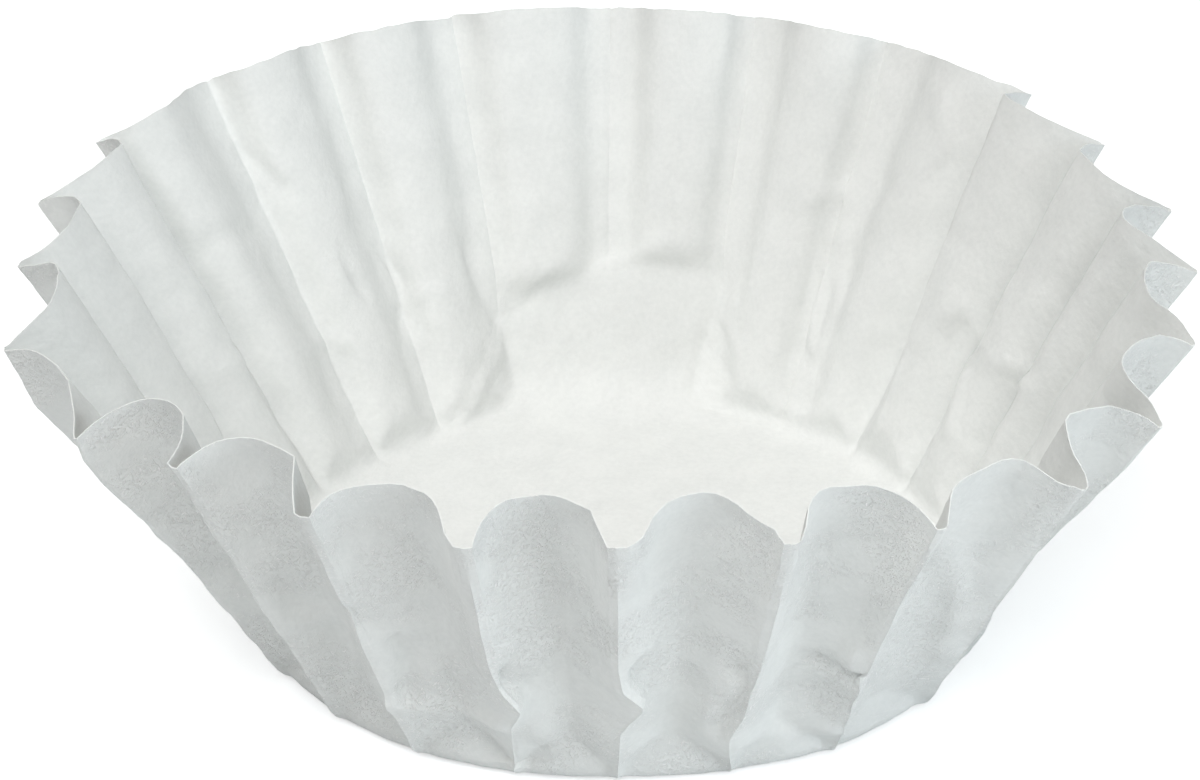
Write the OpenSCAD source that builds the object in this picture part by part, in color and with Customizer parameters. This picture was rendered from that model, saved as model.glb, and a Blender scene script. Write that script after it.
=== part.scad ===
// Paper coffee filter of the flat-bottomed basket kind: one disc of filter paper pressed
// into a flat base and a fluted wall. It stands on its base, +Z is up, and the origin is
// the centre of the underside. Bearings are degrees round from the front (-Y) towards +X.
//
// Paper bends and doesn't stretch. So a circle drawn on the flat disc keeps its length when
// it is gathered into the narrower wall, and what it has too much of makes the flutes. The
// depth of each flute is worked out from that rule: where the rim has opened the flutes are
// shallow, and where it is bunched together they are deep.

/* [Sheet] */
// Thickness of the filter paper
sheet_t = 0.15; // [0.1:0.01:0.4]
// Diameter of the flat base
base_d = 108; // [70:1:160]
// Length of the wall up the paper, from the base crease to the rim
wall_run = 66.5; // [40:0.5:100]

/* [Flutes] */
// Number of flutes round the wall
flute_count = 24; // [16:1:36]
// Lean of the ridge creases above the table, in degrees
wall_lean = 61; // [52:0.5:72]
// Breadth of the channels at the front: 1 is a plain pleat, more is a broader channel
channel_breadth = 2.6; // [1:0.1:4]
// Steepest lean that a channel reaches beside the base crease, in degrees
steepest_lean = 88; // [80:1:92]

/* [Handling] */
// How far the rim and the feet of the flutes have slipped round: 0 leaves them even
slip_share = 1; // [0:0.1:1]
// How far the wall and the base crease have sagged out of round: 0 leaves them round
sag_share = 1; // [0:0.1:1]
// How far the panel at the back has sprung open: 0 leaves the base crease whole
spring_share = 1; // [0:0.1:1]
// Half width of the sprung panel at the base crease
panel_half_w = 16.5; // [8:0.5:24]
// Rise of the sprung panel up the paper
panel_rise = 22; // [14:1:34]
// Radius of the bend between the floor and the sprung panel
panel_bend_r = 12; // [6:1:18]
// Lean of the sprung panel above the table, in degrees
panel_lean = 65.5; // [55:0.5:75]

/* [Hidden] */

base_r = base_d / 2;

// The curves of handling are read at bearings on the flat sheet.
// Slip of the rim round the cup, in degrees
rim_slip = [[0, 1], [15, 1.5], [30, 0], [45, 0], [75, -3.5], [90, -5], [105, -7], [135, -7.5],
            [150, -1], [225, -0.5], [240, 5.5], [270, 4], [285, 3], [300, 6.5], [315, 3],
            [345, 2.5], [360, 1]];
// Slip of the flutes' feet round the base crease, in degrees
foot_slip = [[0, 2.5], [15, 5], [30, 6], [45, 9], [60, 6], [75, 4], [105, 1], [120, 0],
             [315, 0], [345, 1.5], [360, 2.5]];
// Change in the lean of the ridge creases, in degrees
ridge_sag = [[0, 1.5], [15, 0.5], [30, -2], [45, -4], [60, -4], [75, -1.5], [105, 0],
             [120, 2.5], [135, 1], [150, 0], [180, 0.5], [210, -1], [240, -1], [270, 0],
             [285, -3], [300, -2.5], [315, 0.5], [345, 0.5], [360, 1.5]];
// Spread of the base crease out of round, in millimetres
foot_spread = [[0, 0], [15, 1], [30, 3], [45, 4.5], [60, 4], [90, 2], [120, 1], [150, 1],
               [180, 0], [210, -2.5], [225, -3], [240, -2.5], [255, -1], [270, 0.5], [300, 1],
               [330, 1], [360, 0]];
// Place of the deepest line of a channel, as a share of its flute
deepest_place = [[0, 0.5], [30, 0.6], [45, 0.75], [75, 0.8], [90, 0.6], [120, 0.75], [165, 0.6],
                 [195, 0.4], [240, 0.3], [270, 0.4], [300, 0.65], [330, 0.6], [360, 0.5]];
// Share of a channel that is broad, as at the front, where 0 is a plain pleat
broad_share = [[0, 1], [30, 1], [75, 0.5], [150, 0.1], [240, 0.1], [285, 0.5], [330, 1], [360, 1]];

// Columns across one flute, as places on the way to the deepest line and from there on
before_deepest = [0, 0.18, 0.45, 0.75];
after_deepest = [0, 0.25, 0.55, 0.82];
// Places up the wall, as shares of its run
up = [0, 0.035, 0.09, 0.165, 0.25, 0.33, 0.41, 0.56, 0.78, 1];
// Rings of the base, as shares of its radius, from the innermost outwards
base_rings = [0.84, 0.92];

columns = flute_count * (len(before_deepest) + len(after_deepest));
rows = len(base_rings) + len(up);
// Fineness of the gain, in degrees
gain_step = 0.01;
// Width of the blend between the sprung panel and the flutes
panel_edge = 3;

function mix(a, b, share) = a + (b - a) * share;
function sum(list, i = 0) = i < len(list) ? list[i] + sum(list, i + 1) : 0;
function unit(v) = v / norm(v);

// Bearing and lean of ridge crease i
function flat_bearing(i) = 360 * i / flute_count;
function crease_bearing(i, run) =
    let (b = flat_bearing(i))
    b + slip_share * mix(lookup(b, foot_slip), lookup(b, rim_slip), run / wall_run);
function crease_lean(i) = wall_lean + sag_share * lookup(flat_bearing(i), ridge_sag);

// Spread of the base below ridge crease i, which dies away up the wall
function crease_spread(i, run) =
    sag_share * lookup(flat_bearing(i), foot_spread) * pow(1 - run / wall_run, 1.4);

// Place on the wall at a bearing, a lean and a distance up the paper
function on_wall(bearing, lean, run, spread) =
    let (r = base_r + spread + run * cos(lean))
    [r * sin(bearing), -r * cos(bearing), run * sin(lean)];

// Columns across flute i, from its ridge crease to just short of the next one
function across(i) =
    let (deepest = lookup(flat_bearing(i), deepest_place))
    concat([for (place = before_deepest) deepest * place],
           [for (place = after_deepest) mix(deepest, 1, place)]);

// How far in a place across flute i stands: 0 on a ridge crease, 1 on the channel's deepest line
function inward(i, share) =
    let (deepest = lookup(flat_bearing(i), deepest_place),
         away = share < deepest ? 1 - share / deepest : (share - deepest) / (1 - deepest),
         breadth = mix(1, channel_breadth, lookup(flat_bearing(i), broad_share)))
    1 - pow(away, breadth);

// Place across flute i, where the deepest line stands gain degrees steeper than the ridges
function on_flute(i, share, gain, run) =
    let (lean = mix(crease_lean(i), crease_lean(i + 1), share) + gain * inward(i, share),
         bearing = mix(crease_bearing(i, run), crease_bearing(i + 1, run), share),
         spread = mix(crease_spread(i, run), crease_spread(i + 1, run), share))
    on_wall(bearing, min(lean, steepest_lean), run, spread);

// Length across flute i along the paper
function flute_length(i, gain, run) =
    let (line = [for (share = concat(across(i), [1])) on_flute(i, share, gain, run)])
    sum([for (k = [1 : len(line) - 1]) norm(line[k] - line[k - 1])]);

// Length of paper that flute i has to take up, from its foot to the rim
function flute_paper(i, run) =
    mix(flute_length(i, 0, 0), 2 * PI * (base_r + wall_run) / flute_count, run / wall_run);

// The gain at which flute i takes up just the paper that it has there
function flute_gain(i, run, paper, low = 0, high = 40) =
    let (middle = (low + high) / 2)
    high - low < gain_step ? middle
    : flute_length(i, middle, run) < paper
        ? flute_gain(i, run, paper, middle, high)
        : flute_gain(i, run, paper, low, middle);

// Place on the sprung panel of a point x, y of the flat sheet
bend_start = base_r - 2 / 3 * panel_bend_r;
function on_panel(x, y) =
    let (bend_length = panel_bend_r * panel_lean * PI / 180,
         bent = min(max(y - bend_start, 0), bend_length),
         turned = bent / panel_bend_r * 180 / PI,
         straight = max(y - bend_start - bend_length, 0))
    [x,
     min(y, bend_start) + panel_bend_r * sin(turned) + straight * cos(panel_lean),
     panel_bend_r * (1 - cos(turned)) + straight * sin(panel_lean)];

// How much of a point of the flat sheet belongs to the sprung panel
function eased(v) = let (held = min(max(v / 2 + 0.5, 0), 1)) held * held * (3 - 2 * held);
function panel_part(x, y) =
    let (half_w = panel_half_w + 0.15 * max(y - base_r, 0))
    y < bend_start ? 0
    : spring_share * eased((half_w - abs(x)) / panel_edge)
        * eased((base_r + panel_rise - y) / panel_edge);
function sprung(flat, point) =
    mix(point, on_panel(flat.x, flat.y), panel_part(flat.x, flat.y));

// Place of a column on the flat sheet, at a radius
function on_disc(i, share, r) =
    let (bearing = mix(flat_bearing(i), flat_bearing(i + 1), share))
    [r * sin(bearing), -r * cos(bearing)];

// The outer skin, row by row: the rings of the base, then the wall from the crease to the rim
outer_skin = concat(
    [for (ring = base_rings)
        [for (i = [0 : flute_count - 1]) for (share = across(i))
            sprung(on_disc(i, share, ring * base_r), ring * on_flute(i, share, 0, 0))]],
    [for (share_up = up)
        let (run = wall_run * share_up)
        [for (i = [0 : flute_count - 1])
            let (gain = run == 0 ? 0 : flute_gain(i, run, flute_paper(i, run)))
            for (share = across(i))
                sprung(on_disc(i, share, base_r + run), on_flute(i, share, gain, run))]]);

// The inner skin lies one thickness inside, with a mitre where the paper is folded up
function inner_point(row, column) =
    let (here = outer_skin[row][column],
         above = row == rows - 1 ? here - outer_skin[row - 1][column]
                                 : outer_skin[row + 1][column] - here,
         below = row == 0 ? above : here - outer_skin[row - 1][column],
         round = outer_skin[row][(column + 1) % columns]
                 - outer_skin[row][(column + columns - 1) % columns],
         normal = unit(cross(unit(above) + unit(below), round)),
         square_on = unit(cross(above, round)))
    here + sheet_t / max(normal * square_on, 0.6) * normal;
inner_skin = [for (row = [0 : rows - 1])
    [for (column = [0 : columns - 1]) inner_point(row, column)]];

// Index of a skin's point in the solid's list: skin 0 is the outer one, skin 1 the inner
function at(skin, row, column) = (skin * rows + row) * columns + column % columns;
underside_centre = 2 * rows * columns;
floor_centre = underside_centre + 1;

// The two triangles of a patch, turned over on request
function patch(a, b, c, d, turned) = turned ? [[a, b, c], [a, c, d]] : [[c, b, a], [d, c, a]];

module filter_paper() {
    color("#ebedea")
    polyhedron(
        points = concat(
            [for (skin = [outer_skin, inner_skin]) for (line = skin) each line],
            [[0, 0, 0], [0, 0, sheet_t]]),
        faces = concat(
            [for (skin = [0, 1]) for (row = [0 : rows - 2]) for (column = [0 : columns - 1])
                each patch(at(skin, row, column), at(skin, row, column + 1),
                           at(skin, row + 1, column + 1), at(skin, row + 1, column), skin == 1)],
            [for (column = [0 : columns - 1])
                each patch(at(0, rows - 1, column), at(0, rows - 1, column + 1),
                           at(1, rows - 1, column + 1), at(1, rows - 1, column), false)],
            [for (column = [0 : columns - 1])
                [underside_centre, at(0, 0, column), at(0, 0, column + 1)]],
            [for (column = [0 : columns - 1])
                [floor_centre, at(1, 0, column + 1), at(1, 0, column)]]),
        convexity = 10);
}

filter_paper();
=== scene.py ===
"""Dressed model of a paper coffee filter, with its camera, its lamps and its table.

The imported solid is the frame, and the sheet built here stands for it. The sheet is one disc
of filter paper, folded up round its base crease: the same fluted wall as the solid, with the
sprung panel at the back and the creases and dents that handling has given it.

Bearings are degrees round from the front (-Y) towards +X. A place on the sheet is written as
a flute coordinate and a run: flute 0 is the front ridge, flute 12 the back one, and the run
is the distance up the paper from the base crease, in millimetres. It is negative on the base.
"""

from __future__ import annotations

import logging
import math
from dataclasses import dataclass, field
from enum import Enum

import bpy
import numpy as np
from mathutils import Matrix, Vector


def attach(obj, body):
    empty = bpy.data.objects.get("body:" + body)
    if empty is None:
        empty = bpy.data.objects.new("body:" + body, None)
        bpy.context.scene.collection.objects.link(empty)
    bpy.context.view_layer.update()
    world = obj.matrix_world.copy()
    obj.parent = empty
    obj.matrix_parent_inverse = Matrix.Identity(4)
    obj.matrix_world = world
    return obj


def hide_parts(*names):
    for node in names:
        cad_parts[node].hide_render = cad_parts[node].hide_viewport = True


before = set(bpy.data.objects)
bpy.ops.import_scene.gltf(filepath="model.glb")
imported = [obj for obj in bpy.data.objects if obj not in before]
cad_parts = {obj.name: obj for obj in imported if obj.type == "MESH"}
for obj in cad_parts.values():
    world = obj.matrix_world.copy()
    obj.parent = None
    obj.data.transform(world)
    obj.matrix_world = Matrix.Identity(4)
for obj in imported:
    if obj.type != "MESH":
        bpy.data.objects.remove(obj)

log = logging.getLogger("coffee_filter")

Socket = bpy.types.NodeSocket
Value = float | str | Socket | tuple[float, ...]
Colour = tuple[float, float, float]

MM = 0.001
FLUTES = 24
FLUTE_ANGLE = 360.0 / FLUTES
# How much steeper the rim's line is beside a ridge's tip, in degrees
TIP_RISE = 0.2
# Side of the square that the flat sheet's chart covers, in millimetres
CHART_SIZE = 250.0


class Side(Enum):
    """Which way a crease or a dent pushes the paper."""

    OUT = 1.0
    IN = -1.0


@dataclass(frozen=True)
class Flute:
    """One flute at the rim: its left ridge and the line of its channel to the next ridge.

    Attributes:
        bearing: Bearing of the ridge, in degrees.
        lean: Lean of the ridge above the table, in degrees.
        channel: Bearing and lean at places along the channel, left to right, in degrees.
        crease: Which place of the channel is a sharp fold.
        tip: Half the width of the ridge's flat tip, in millimetres.
        soft: Whether the flute has opened into one soft wave with no sharp fold.
        waist: Share of the paper and share of the depth at places between the ridges lower
            down, where it isn't like the rim.
    """

    bearing: float
    lean: float
    channel: tuple[tuple[float, float], ...]
    crease: int = -1
    tip: float = 1.3
    soft: bool = False
    waist: tuple[tuple[float, float], ...] = ()


@dataclass(frozen=True)
class Crease:
    """A line in the paper, with a flank on each side of it.

    Attributes:
        path: Places along the line, each a flute coordinate and a run.
        height: How far the line stands proud, in millimetres.
        flank: Distance at which it has fallen away to a third, in millimetres.
        side: Which way the line stands.
    """

    path: tuple[tuple[float, float], ...]
    height: float
    flank: float
    side: Side


def groove(height: float, flank: float, *path: tuple[float, float]) -> Crease:
    """A crease that stands inwards."""
    return Crease(path, height, flank, Side.IN)


def rib(height: float, flank: float, *path: tuple[float, float]) -> Crease:
    """A crease that stands outwards."""
    return Crease(path, height, flank, Side.OUT)


@dataclass(frozen=True)
class Dent:
    """A soft hollow or swelling in the paper.

    Attributes:
        place: Flute coordinate and run of its middle.
        size: Half width across the wall and half height up it, in millimetres.
        height: How far its middle moves, in millimetres.
        side: Which way its middle moves.
    """

    place: tuple[float, float]
    size: tuple[float, float]
    height: float
    side: Side = Side.IN


@dataclass(frozen=True)
class BentFold:
    """A fold that leaves its straight line, and takes the paper on both sides with it.

    Attributes:
        flute: Flute coordinate of the fold.
        bends: Run, shift towards larger bearings and shift outwards, all in millimetres.
        left: Reach on the side of smaller bearings, in millimetres along the paper.
        right: Reach on the side of larger bearings.
    """

    flute: float
    bends: tuple[tuple[float, float, float], ...]
    left: float
    right: float


RIM = (
    Flute(1.1, 62.7, ((3.1, 63.8), (4.6, 67.0), (6.2, 68.9), (8.2, 69.6), (10.6, 69.3),
                      (11.9, 68.2), (13.3, 65.9), (15.1, 63.6)),
          waist=((0.50, 1.0), (0.82, 0.30))),
    Flute(16.4, 61.4, ((18.4, 64.2), (19.5, 66.6), (20.7, 67.7), (23.7, 67.5), (25.6, 66.9),
                       (27.1, 65.6), (28.4, 63.7), (29.1, 60.8)), tip=1.2,
          waist=((0.48, 1.0), (0.88, 0.25))),
    Flute(29.9, 59.0, ((31.5, 61.0), (33.2, 63.5), (34.7, 64.1), (37.3, 64.3), (40.3, 64.1),
                       (41.4, 63.1), (42.2, 61.3), (43.0, 58.8)), crease=5, tip=0.8,
          waist=((0.30, 0.9), (0.55, 1.0), (0.80, 0.6))),
    Flute(44.9, 56.7, ((46.1, 58.8), (46.8, 61.5), (48.3, 63.8), (49.4, 65.1), (51.9, 64.6),
                       (54.7, 63.0), (56.4, 60.3)), crease=5, tip=0.6),
    Flute(57.6, 57.0, ((59.6, 60.7), (59.8, 62.2), (60.3, 64.2), (61.4, 65.6), (63.9, 66.1),
                       (66.6, 65.6), (69.4, 63.9), (70.6, 61.6)), crease=6, tip=0.6),
    Flute(71.5, 59.4, ((73.4, 61.7), (74.6, 64.2), (75.2, 66.3), (76.6, 67.3), (79.6, 68.0),
                       (82.3, 67.4), (84.3, 64.0)), crease=5, tip=0.6),
    Flute(85.3, 60.4, ((87.0, 63.6), (88.0, 66.7), (88.9, 69.0), (90.6, 70.3), (93.0, 69.8),
                       (94.9, 68.1), (96.6, 65.0)), crease=4, tip=0.6),
    Flute(97.9, 61.2, ((99.0, 65.9), (100.9, 69.0), (103.7, 70.4), (107.6, 70.8),
                       (110.6, 67.5)), crease=3, tip=0.7),
    Flute(112.3, 63.6, ((113.9, 66.3), (116.0, 69.2), (120.0, 71.0), (124.2, 71.0),
                        (126.0, 66.6)), crease=3, tip=0.7),
    Flute(127.6, 62.2, ((130.2, 63.5), (133.6, 65.4), (138.2, 65.0), (142.3, 62.0)), soft=True),
    Flute(147.4, 60.7, ((148.4, 61.7), (149.8, 64.4), (152.9, 65.8), (156.7, 65.2),
                        (159.6, 61.9)), tip=0.4, soft=True),
    Flute(163.0, 60.8, ((164.2, 61.7), (165.7, 64.4), (169.5, 65.8), (174.0, 65.2),
                        (176.5, 62.0)), tip=0.4, soft=True),
    Flute(179.4, 61.2, ((181.6, 61.8), (184.6, 65.0), (189.4, 65.8), (193.9, 64.6),
                        (195.8, 61.9)), tip=0.5, soft=True),
    Flute(197.2, 60.7, ((200.0, 61.8), (203.4, 65.2), (207.0, 65.9), (210.2, 64.6),
                        (211.4, 61.9)), tip=0.4, soft=True),
    Flute(212.6, 60.1, ((215.2, 61.7), (218.7, 65.0), (222.8, 65.7), (225.6, 64.6),
                        (226.6, 62.0)), tip=0.4, soft=True),
    Flute(227.6, 60.1, ((231.0, 61.7), (235.5, 64.8), (240.0, 66.0), (243.2, 64.2)), tip=0.5,
          soft=True),
    Flute(245.4, 60.0, ((246.6, 63.7), (249.4, 67.4), (252.4, 67.6), (256.6, 65.2),
                        (259.0, 63.0)), crease=1, tip=0.7),
    Flute(260.1, 60.3, ((260.6, 63.0), (262.0, 66.4), (265.0, 68.7), (268.6, 68.2),
                        (271.8, 66.4), (273.4, 64.0)), crease=2, tip=0.6),
    Flute(274.0, 61.1, ((275.8, 63.9), (277.6, 66.6), (280.4, 67.2), (283.0, 66.6),
                        (285.6, 64.8), (287.0, 61.4)), crease=2, tip=0.6),
    Flute(288.1, 57.8, ((290.4, 60.4), (294.0, 62.2), (299.0, 62.6), (303.6, 60.6)),
          crease=2, tip=0.6),
    Flute(306.5, 58.6, ((307.0, 62.0), (307.9, 65.4), (309.4, 67.6), (311.6, 68.6),
                        (314.2, 68.0), (316.4, 65.0)), crease=4, tip=0.6),
    Flute(317.8, 61.6, ((319.1, 65.1), (319.9, 66.7), (321.4, 68.3), (323.4, 69.2),
                        (325.9, 69.2), (328.4, 68.7), (331.2, 63.2)), crease=5, tip=0.9,
          waist=((0.40, 1.0), (0.80, 0.4))),
    Flute(332.6, 61.7, ((334.1, 65.3), (335.6, 66.9), (337.8, 68.1), (340.1, 68.8),
                        (341.4, 68.5), (342.8, 68.1), (344.6, 66.2), (345.8, 63.4)), tip=1.1,
          waist=((0.52, 1.0), (0.84, 0.28))),
    Flute(347.7, 61.7, ((349.0, 65.6), (349.6, 67.3), (350.6, 68.6), (351.9, 69.3),
                        (354.3, 69.8), (355.7, 69.5), (357.2, 68.7), (358.7, 67.7)),
          waist=((0.55, 1.0), (0.85, 0.28))),
)

FOOT = (
    (2.0, 54.0), (19.0, 55.2), (35.0, 57.2), (53.0, 58.6), (66.0, 58.0), (79.0, 57.2),
    (92.0, 56.4), (105.0, 55.6), (118.0, 54.8), (132.5, 55.2), (147.5, 54.8), (163.0, 54.2),
    (179.5, 53.8), (196.0, 53.2), (211.5, 52.2), (226.5, 51.6), (241.0, 51.8), (255.0, 53.0),
    (270.0, 54.4), (285.0, 55.2), (300.0, 55.0), (315.0, 55.0), (330.5, 54.9), (346.5, 54.4),
)

BENT_FOLDS = (
    BentFold(23.0, ((3.0, 0.0, -0.9), (9.0, 0.0, -1.8), (15.0, 0.8, -1.2), (19.0, 2.4, 0.2),
                    (22.8, 3.6, 1.2), (27.5, 1.0, 0.8), (33.0, 0.0, 0.0)), left=9.0, right=6.0),
    BentFold(0.0, ((3.0, 0.0, 0.0), (15.0, 0.3, 0.0), (20.0, 2.0, 0.8), (23.8, 3.6, 1.2),
                   (28.5, 0.6, 0.8), (34.0, 0.0, 0.0)), left=9.0, right=6.0),
    BentFold(1.0, ((2.0, 0.0, 0.0), (8.0, -1.4, 0.3), (13.0, -2.2, 0.6), (19.0, -1.0, 0.9),
                   (25.0, -0.6, 0.9), (34.0, 0.0, 0.0)), left=8.0, right=6.0),
    BentFold(2.0, ((4.0, 0.0, 0.0), (18.0, -1.2, 0.3), (30.0, -1.7, 0.3), (46.0, -1.4, 0.0),
                   (62.0, 0.0, 0.0)), left=7.0, right=6.0),
    BentFold(19.0, ((30.0, 0.0, 0.0), (45.0, 0.0, 1.8), (54.0, 0.0, 2.6), (60.0, 0.0, 1.1),
                    (66.5, 0.0, 0.0)), left=9.0, right=10.0),
    BentFold(20.0, ((34.0, 0.0, 0.0), (46.0, 0.0, 0.8), (56.0, 0.0, 1.8), (61.0, 0.0, 2.0),
                    (66.5, 0.0, 0.8)), left=9.0, right=9.0),
    BentFold(4.0, ((8.0, 0.0, 0.0), (18.0, 0.0, -1.6), (28.0, 0.0, -2.2), (38.0, 0.0, -1.2),
                   (52.0, 0.0, 0.0)), left=9.0, right=9.0),
)

FRONT_CREASES = (
    groove(1.3, 1.7, (1.60, 24.4), (1.78, 23.2), (1.98, 23.0)),
    groove(1.3, 1.8, (0.86, 29.6), (0.94, 25.4), (0.88, 19.0), (0.82, 13.5)),
    rib(1.0, 1.5, (0.74, 18.0), (0.78, 12.5)),
    rib(1.1, 1.9, (22.05, 16.4), (22.43, 12.6), (22.88, 14.5)),
    groove(1.6, 1.7, (22.24, 30.5), (22.28, 27.7), (22.15, 17.2)),
    groove(0.8, 2.0, (22.02, 40.6), (22.14, 34.5)),
    groove(1.3, 2.0, (21.16, 34.0), (21.22, 28.0)),
    groove(1.0, 2.2, (21.30, 22.0), (21.24, 9.0)),
    rib(1.1, 2.1, (2.52, 44.0), (2.76, 30.0), (2.84, 17.0)),
    rib(0.6, 1.5, (0.10, 36.5), (0.26, 35.0)),
    groove(1.1, 1.7, (23.10, 28.5), (23.24, 24.0)),
    groove(1.0, 1.8, (0.14, 31.0), (0.24, 24.5)),
    rib(0.8, 1.8, (1.10, 9.0), (1.50, 6.0), (1.90, 7.5)),
    groove(0.9, 2.0, (20.25, 30.0), (20.70, 18.0), (20.45, 8.0)),
    groove(0.9, 2.0, (3.35, 40.0), (3.55, 26.0), (3.35, 14.0)),
)

BACK_CREASES = (
    groove(0.45, 1.2, (13.02, 17.6), (12.81, 17.2), (12.68, 20.7), (12.53, 23.1), (12.40, 25.4)),
    groove(0.4, 1.2, (11.94, 23.3), (11.71, 25.5), (11.46, 28.7)),
    rib(0.3, 1.2, (11.87, 21.3), (11.58, 23.2), (11.30, 22.8)),
    rib(0.6, 1.2, (13.24, 28.0), (13.24, 23.5), (13.12, 19.3), (13.04, 15.4)),
    rib(0.5, 1.3, (12.98, 11.0), (13.00, 3.6)),
    groove(0.6, 1.4, (13.09, 10.4), (13.41, 6.0), (13.73, 0.4)),
    rib(0.5, 1.1, (10.99, 14.8), (10.87, 13.0), (10.91, 9.8), (10.74, 7.0)),
    groove(0.5, 1.1, (10.79, 19.3), (10.83, 14.9), (10.66, 11.6)),
    rib(0.5, 1.2, (11.02, 11.3), (10.97, 3.0)),
    groove(0.5, 1.1, (10.33, 36.9), (10.20, 39.4), (9.99, 41.2)),
    groove(0.6, 1.1, (10.06, 28.5), (9.99, 22.3), (9.91, 14.8)),
    groove(0.6, 1.1, (9.78, 24.0), (9.80, 18.3), (9.83, 13.6)),
    rib(0.5, 1.0, (9.91, 25.0), (9.89, 15.5)),
    groove(0.35, 1.3, (14.04, -3.3), (13.61, -1.7), (13.17, -2.3), (13.07, -1.3)),
    groove(0.35, 1.2, (10.95, -1.8), (10.68, -1.9), (10.34, -1.9), (10.08, -1.0)),
    rib(0.5, 1.5, (14.95, 52.7), (14.85, 48.8), (14.77, 45.1)),
    groove(0.5, 1.3, (15.30, 21.7), (14.96, 20.7), (14.79, 19.9)),
    rib(0.7, 1.2, (14.06, 31.3), (13.94, 26.2), (13.95, 22.4), (14.09, 19.0)),
    groove(0.6, 1.2, (13.97, 21.6), (13.76, 23.0), (13.58, 22.6)),
    groove(0.3, 1.1, (12.50, 34.3), (12.41, 35.1), (12.29, 34.6)),
    groove(0.7, 1.5, (9.42, 60.4), (9.28, 54.2), (9.46, 42.6), (9.76, 33.9)),
    groove(0.7, 1.3, (8.37, 29.8), (8.30, 33.2), (8.17, 31.8), (7.63, 24.1), (7.50, 15.7)),
    groove(0.7, 1.3, (7.44, 29.4), (7.27, 31.2), (6.51, 32.9)),
    rib(0.45, 1.4, (15.84, 43.2), (15.64, 45.0), (15.11, 41.8)),
    rib(0.6, 1.3, (14.54, 31.7), (14.53, 29.2), (14.43, 26.3)),
    groove(0.45, 1.4, (16.9, 30.0), (16.5, 27.0), (16.2, 27.5)),
)

DENTS = (
    Dent((23.12, 28.6), size=(1.7, 2.8), height=1.5),
    Dent((0.16, 29.4), size=(1.9, 3.0), height=1.4),
    Dent((23.36, 14.0), size=(3.2, 7.0), height=0.7, side=Side.OUT),
    Dent((1.85, 28.0), size=(2.0, 3.2), height=1.2, side=Side.OUT),
    Dent((1.70, 16.0), size=(5.0, 4.5), height=1.5),
    Dent((22.38, 21.5), size=(3.0, 5.0), height=1.1, side=Side.OUT),
    Dent((22.42, 7.5), size=(6.0, 3.8), height=0.5),
    Dent((2.35, 42.0), size=(3.0, 8.0), height=1.1),
    Dent((20.6, 24.0), size=(3.0, 7.0), height=1.0),
    Dent((3.50, 30.0), size=(3.5, 7.0), height=1.0),
    Dent((13.30, 6.5), size=(3.2, 5.0), height=0.7, side=Side.OUT),
    Dent((10.76, 4.5), size=(3.4, 4.5), height=0.6, side=Side.OUT),
    Dent((13.71, 18.6), size=(2.6, 3.2), height=0.5),
    Dent((14.49, 27.8), size=(1.6, 3.0), height=0.5, side=Side.OUT),
    Dent((12.45, 9.0), size=(7.0, 5.0), height=0.35, side=Side.OUT),
    Dent((8.22, 27.2), size=(2.4, 6.0), height=0.6, side=Side.OUT),
)


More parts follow.
